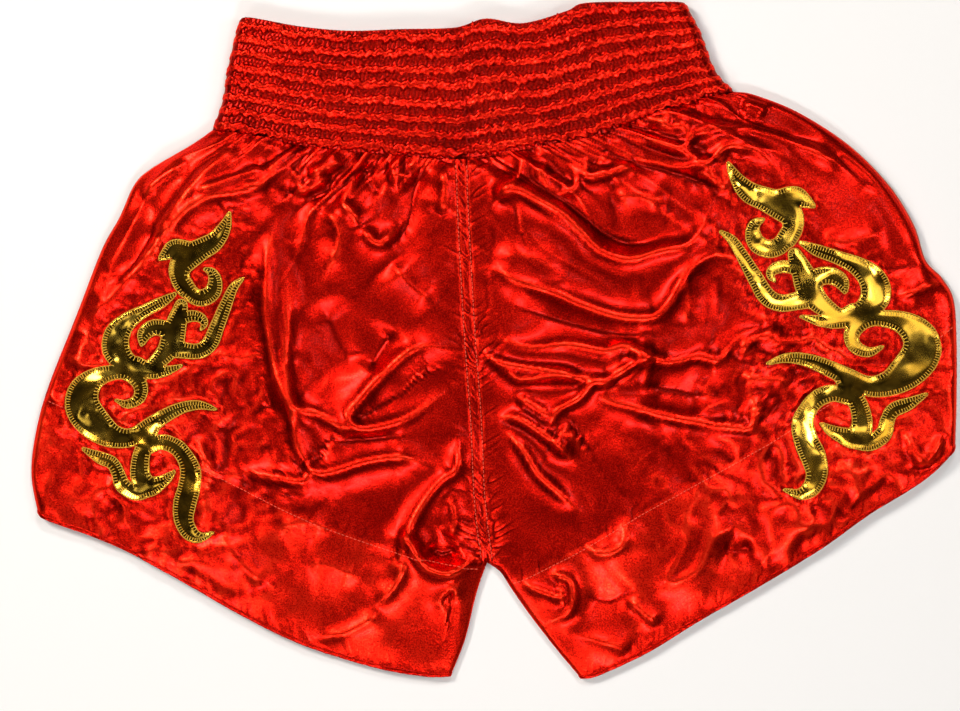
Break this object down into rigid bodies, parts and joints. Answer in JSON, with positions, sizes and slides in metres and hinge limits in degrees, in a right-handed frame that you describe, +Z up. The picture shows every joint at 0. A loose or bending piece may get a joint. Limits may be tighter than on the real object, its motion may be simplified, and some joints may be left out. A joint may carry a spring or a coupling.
{
  "type": "boxing shorts",
  "caption": "Wide-legged satin fight shorts lying flat, front up, with a shirred elastic waistband, side panels with foil flame appliques, wide leg bands and rolled hems.",
  "frame": {"origin": "on the table, under the middle of the garment's bounding box", "axes": "+X to the viewer's right across the front, +Y from the hems to the waist, +Z up out of the table, front of the shorts facing up"},
  "size_m": [0.627, 0.4578, 0.0203],
  "materials": {
    "satin": "glossy woven polyester satin",
    "waistband_satin": "glossy satin, shirred",
    "elastic": "woven elastic, matte",
    "gold_thread": "glossy embroidery thread",
    "red_thread": "matte sewing thread",
    "gold_foil": "mirror-bright metallised foil"
  },
  "bodies": {
    "root": {"front_left_panel": "satin", "front_right_panel": "satin", "back_left_panel": "satin", "back_right_panel": "satin", "left_side_panel": "satin", "right_side_panel": "satin", "left_leg_band": "satin", "right_leg_band": "satin", "left_leg_hem": "satin", "right_leg_hem": "satin", "waistband_casing": "waistband_satin", "elastic_1": "elastic", "elastic_2": "elastic", "elastic_3": "elastic", "elastic_4": "elastic", "elastic_5": "elastic", "elastic_6": "elastic", "elastic_7": "elastic", "elastic_8": "elastic", "left_upper_flame_foil": "gold_foil", "left_lower_scroll_foil": "gold_foil", "right_upper_flame_foil": "gold_foil", "right_lower_scroll_foil": "gold_foil"}
  },
  "joints": []
}
